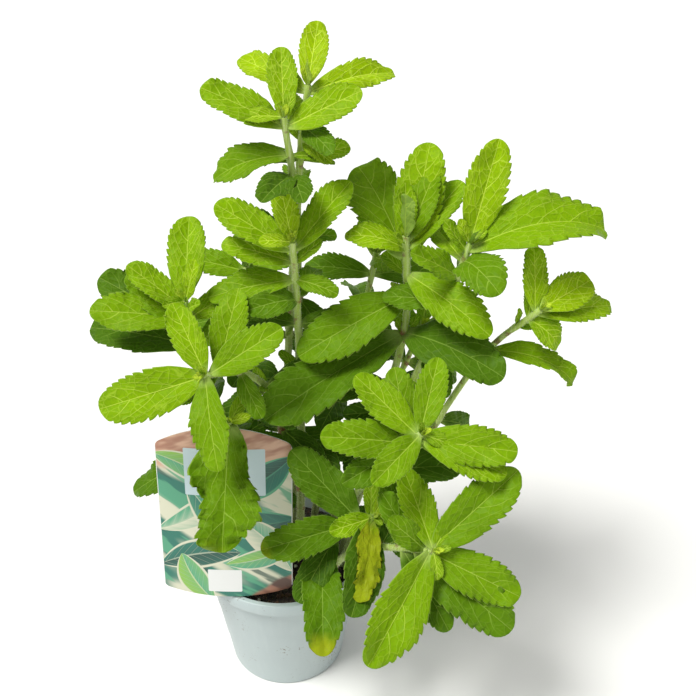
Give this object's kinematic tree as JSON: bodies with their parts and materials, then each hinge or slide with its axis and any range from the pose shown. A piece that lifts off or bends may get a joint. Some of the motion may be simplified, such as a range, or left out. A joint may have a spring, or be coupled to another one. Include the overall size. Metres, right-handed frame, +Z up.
{
  "type": "potted stevia plant",
  "caption": "Young stevia herb plant in a round nursery pot, with leafy stems standing in the soil and a picture card on a stake.",
  "frame": {"origin": "centre of the pot's flat underside", "axes": "+Z up the pot's axis; the picture card stands at the front, which faces -Y; +X is to the right as seen from the front"},
  "size_m": [0.2676, 0.2175, 0.3824],
  "materials": {
    "pot": "smooth moulded plastic, light bluish grey",
    "soil": "damp crumbly potting soil with bits of bark",
    "card": "thin printed plastic, glossy",
    "leafy_stem": "soft leaf, finely veined, lightly hairy"
  },
  "bodies": {
    "root": {"pot": "pot", "soil": "soil", "picture_card": "card", "stem_front_right": "leafy_stem", "stem_right_middle": "leafy_stem", "stem_front_low": "leafy_stem", "stem_left_front": "leafy_stem", "stem_behind_card": "leafy_stem", "stem_centre_right": "leafy_stem", "stem_right_top": "leafy_stem", "stem_far_right": "leafy_stem", "stem_left": "leafy_stem", "stem_centre_left": "leafy_stem", "stem_tall_left": "leafy_stem", "stem_tallest": "leafy_stem", "stem_back_centre": "leafy_stem", "stem_back_left": "leafy_stem", "stem_back_right": "leafy_stem"}
  },
  "joints": []
}
